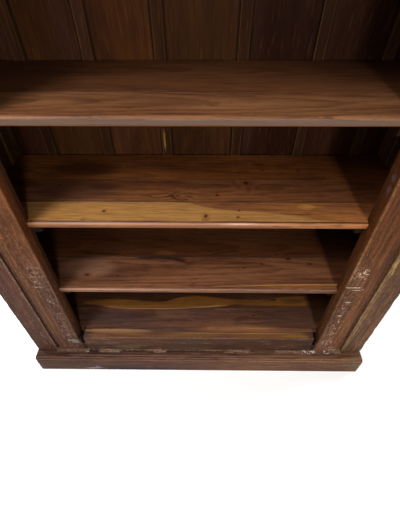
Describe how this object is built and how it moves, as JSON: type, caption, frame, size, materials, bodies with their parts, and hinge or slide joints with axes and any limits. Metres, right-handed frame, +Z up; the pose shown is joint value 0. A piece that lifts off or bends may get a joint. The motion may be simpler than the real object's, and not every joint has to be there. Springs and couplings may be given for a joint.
{
  "type": "open bookcase",
  "caption": "Tall open wooden bookcase: old carved doorway as face frame, plain shelves behind, boarded back with cover battens, framed sides and a heavy plinth.",
  "frame": {"origin": "on the floor, midway between the sides and midway between the plinth front and the back rails", "axes": "+Z up, -Y towards the viewer who faces the open front, +X to that viewer's right"},
  "size_m": [1.397, 0.501, 1.937],
  "materials": {
    "carved_teak": "old carved doorway wood, waxed over worn pale paint in the hollows",
    "frame_teak": "old planed wood with traces of paint, waxed",
    "plinth_teak": "reddish brown wood, satin wax",
    "shelf_teak": "reddish brown heartwood with yellow sapwood streaks, polished",
    "back_teak": "reddish brown boards, satin",
    "side_teak": "reddish brown wood, satin",
    "support_teak": "sawn brown wood, unpolished",
    "peg_wood": "dark end grain",
    "screw_steel": "dull steel"
  },
  "bodies": {
    "root": {"back_board_1": "back_teak", "back_board_2": "back_teak", "back_board_3": "back_teak", "back_board_4": "back_teak", "back_board_5": "back_teak", "back_board_6": "back_teak", "back_board_7": "back_teak", "back_rails": "support_teak", "back_screws": "screw_steel", "base_rail": "plinth_teak", "cornice": "frame_teak", "cover_battens": "back_teak", "deck_back_board": "shelf_teak", "deck_bearers": "support_teak", "deck_front_board": "shelf_teak", "deck_ledger": "support_teak", "deck_middle_board": "shelf_teak", "frieze_board": "frame_teak", "jamb_left": "carved_teak", "jamb_right": "carved_teak", "lintel": "carved_teak", "outer_stile_left": "frame_teak", "outer_stile_right": "frame_teak", "plinth_back": "plinth_teak", "plinth_corner_blocks": "plinth_teak", "plinth_front": "plinth_teak", "plinth_side_left": "plinth_teak", "plinth_side_right": "plinth_teak", "shelf_1_back_board": "shelf_teak", "shelf_1_front_board": "shelf_teak", "shelf_2_back_board": "shelf_teak", "shelf_2_front_board": "shelf_teak", "shelf_2_middle_board": "shelf_teak", "shelf_3_back_board": "shelf_teak", "shelf_3_front_board": "shelf_teak", "shelf_4_back_board": "shelf_teak", "shelf_4_front_board": "shelf_teak", "shelf_cleats": "support_teak", "shelf_corner_blocks": "support_teak", "side_back_stile_left": "side_teak", "side_back_stile_right": "side_teak", "side_bottom_rail_left": "side_teak", "side_bottom_rail_right": "side_teak", "side_front_stile_left": "side_teak", "side_front_stile_right": "side_teak", "side_lower_panel_left": "side_teak", "side_lower_panel_right": "side_teak", "side_middle_rail_left": "side_teak", "side_middle_rail_right": "side_teak", "side_top_rail_left": "side_teak", "side_top_rail_right": "side_teak", "side_upper_panel_left": "side_teak", "side_upper_panel_right": "side_teak", "sill": "carved_teak", "sill_lip": "carved_teak", "stop_strip_left": "carved_teak", "stop_strip_right": "carved_teak", "tenon_pegs": "peg_wood", "top_back_board": "shelf_teak", "top_front_board": "shelf_teak"}
  },
  "joints": []
}
